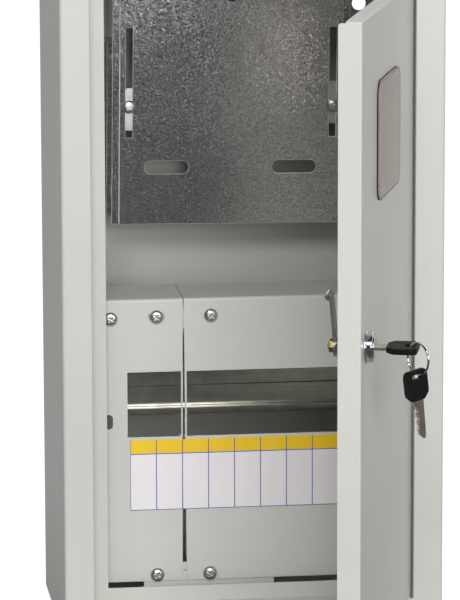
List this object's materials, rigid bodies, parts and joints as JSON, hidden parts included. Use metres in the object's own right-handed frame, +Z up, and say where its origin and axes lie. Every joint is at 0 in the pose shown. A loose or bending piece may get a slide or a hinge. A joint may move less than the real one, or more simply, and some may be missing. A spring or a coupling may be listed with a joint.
{
  "type": "electrical enclosure",
  "caption": "Wall-hung sheet-steel meter and distribution cabinet with an inset hinged door, window, cam lock with keys, meter plate, covered modular row and mounting rail.",
  "frame": {"origin": "centre of the flat back face that lies on the wall", "axes": "+X to the right seen from the front, +Y into the wall, +Z up"},
  "size_m": [0.261, 0.3662, 0.4774],
  "materials": {
    "grey_paint": "satin powder coat",
    "zinc": "zinc plated",
    "galvanised": "galvanised with spangle",
    "chrome": "polished",
    "brass": "satin",
    "black_plastic": "satin",
    "clear_plastic": "clear",
    "grey_plastic": "matt",
    "white_plastic": "matt",
    "label": "printed film",
    "rubber": "matt"
  },
  "bodies": {
    "cabinet": {"body_back": "grey_paint", "body_left": "grey_paint", "body_right": "grey_paint", "body_top": "grey_paint", "body_bottom": "grey_paint", "flange_left": "grey_paint", "flange_right": "grey_paint", "flange_top": "grey_paint", "flange_bottom": "grey_paint", "frame_left": "grey_paint", "frame_right": "grey_paint", "frame_top": "grey_paint", "frame_bottom": "grey_paint", "hinge_pin_upper": "zinc", "hinge_pin_lower": "zinc", "hinge_washer_upper": "white_plastic", "hinge_washer_lower": "white_plastic", "meter_plate": "galvanised", "plate_nuts": "zinc", "din_rail": "zinc", "rail_bracket_left": "zinc", "rail_bracket_right": "zinc", "rail_screws": "zinc", "cover_left": "grey_paint", "cover_right": "grey_paint", "cover_screws_left": "zinc", "cover_screws_right": "zinc", "cover_crossbar": "grey_paint", "cover_bracket": "grey_paint", "label_strip": "label", "grommet_left": "rubber", "grommet_right": "rubber"},
    "door": {"door_panel": "grey_paint", "window_pane": "clear_plastic", "window_retainer": "grey_plastic", "lock_housing": "chrome", "lock_nut": "zinc"},
    "lock": {"lock_plug": "chrome", "lock_cam": "zinc", "cam_nut": "brass"},
    "key": {"key_blade": "chrome", "key_bow": "black_plastic"},
    "ring": {"key_ring": "chrome"},
    "spare_key": {"spare_blade": "chrome", "spare_bow": "black_plastic"},
    "left_slider": {"slider_left": "zinc", "slider_screw_left": "zinc"},
    "right_slider": {"slider_right": "zinc", "slider_screw_right": "zinc"}
  },
  "joints": [
    {"name": "door_hinge", "type": "hinge", "parent": "cabinet", "child": "door", "pos_m": [0.1052, -0.1568, 0], "axis": [0, 0, 1], "range_deg": [-71.75, 36]},
    {"name": "lock_turn", "type": "hinge", "parent": "door", "child": "lock", "pos_m": [0.04783, -0.341, 0.0015], "axis": [0.9497, -0.3132, 0], "range_deg": [-6.5, 83.5]},
    {"name": "key_pull", "type": "slide", "parent": "lock", "child": "key", "axis": [0.9497, -0.3132, 0], "range_m": [0, 0.019]},
    {"name": "ring_turn", "type": "hinge", "parent": "key", "child": "ring", "pos_m": [0.07863, -0.35666, -0.0041], "axis": [-0.866, -0.5, 0], "range_deg": [-20, 20]},
    {"name": "spare_swing", "type": "hinge", "parent": "ring", "child": "spare_key", "pos_m": [0.07863, -0.35666, -0.01435], "axis": [0.5, -0.866, 0], "range_deg": [-25, 25]},
    {"name": "left_slider_move", "type": "slide", "parent": "cabinet", "child": "left_slider", "axis": [0.0134, 0, 0.9999], "range_m": [-0.0195, 0.053]},
    {"name": "right_slider_move", "type": "slide", "parent": "cabinet", "child": "right_slider", "axis": [0.0134, 0, 0.9999], "range_m": [-0.0195, 0.053]}
  ]
}
